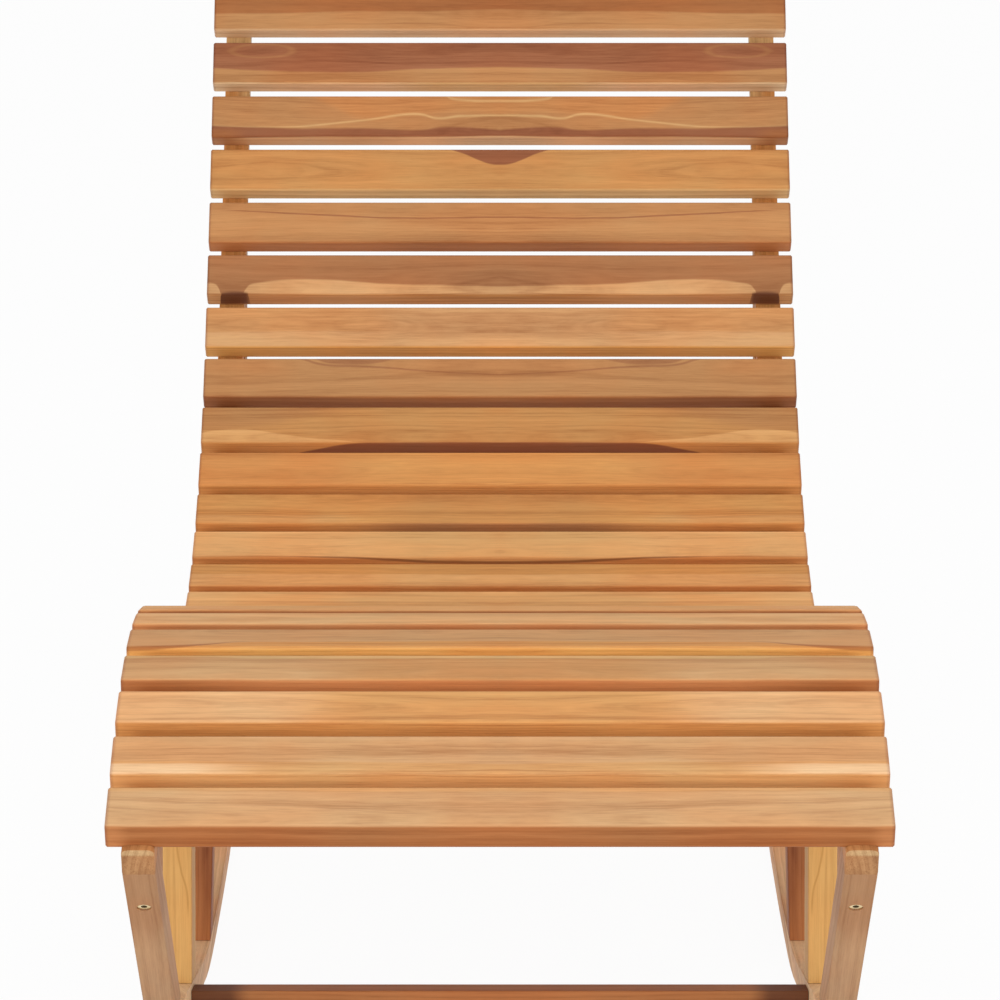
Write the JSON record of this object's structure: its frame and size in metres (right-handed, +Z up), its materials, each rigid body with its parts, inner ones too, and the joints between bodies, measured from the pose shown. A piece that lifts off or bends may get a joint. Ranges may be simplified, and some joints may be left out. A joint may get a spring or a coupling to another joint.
{
  "type": "rocking chaise lounge",
  "caption": "Full-length slatted wooden lounger with a wave-shaped seat on two side frames that stand on curved rockers.",
  "frame": {"origin": "on the floor, on the mirror plane, midway between the foot end and the top of the back", "axes": "+Z up; -Y towards the foot end of the seat and +Y towards the back; +X to the right seen from the foot end"},
  "size_m": [0.6, 1.6516, 0.7683],
  "materials": {
    "teak_seat": "sanded teak, lightly oiled, satin",
    "teak_frame": "sanded teak, lightly oiled, satin",
    "teak_dark": "sanded teak heartwood, dark reddish brown, satin",
    "brass": "satin brass bolt heads with a hexagon socket"
  },
  "bodies": {
    "root": {"slat_01": "teak_seat", "slat_02": "teak_seat", "slat_03": "teak_seat", "slat_04": "teak_seat", "slat_05": "teak_seat", "slat_06": "teak_seat", "slat_07": "teak_seat", "slat_08": "teak_seat", "slat_09": "teak_seat", "slat_10": "teak_seat", "slat_11": "teak_seat", "slat_12": "teak_seat", "slat_13": "teak_seat", "slat_14": "teak_seat", "slat_15": "teak_seat", "slat_16": "teak_seat", "slat_17": "teak_seat", "slat_18": "teak_seat", "slat_19": "teak_seat", "slat_20": "teak_seat", "slat_21": "teak_seat", "slat_22": "teak_seat", "slat_23": "teak_seat", "slat_24": "teak_seat", "slat_25": "teak_seat", "slat_26": "teak_seat", "slat_27": "teak_seat", "slat_28": "teak_seat", "slat_29": "teak_seat", "slat_30": "teak_seat", "left_rail_foot": "teak_frame", "left_rail_seat": "teak_frame", "left_rail_back": "teak_frame", "left_front_leg": "teak_frame", "left_front_post": "teak_frame", "left_seat_strut": "teak_dark", "left_rear_leg": "teak_frame", "left_rocker": "teak_frame", "left_leg_bolt": "brass", "right_rail_foot": "teak_frame", "right_rail_seat": "teak_frame", "right_rail_back": "teak_frame", "right_front_leg": "teak_frame", "right_front_post": "teak_frame", "right_seat_strut": "teak_dark", "right_rear_leg": "teak_frame", "right_rocker": "teak_frame", "right_leg_bolt": "brass", "front_stretcher": "teak_dark", "rear_stretcher": "teak_dark", "left_front_stretcher_bolt": "brass", "right_front_stretcher_bolt": "brass", "left_rear_stretcher_bolt": "brass", "right_rear_stretcher_bolt": "brass"}
  },
  "joints": []
}
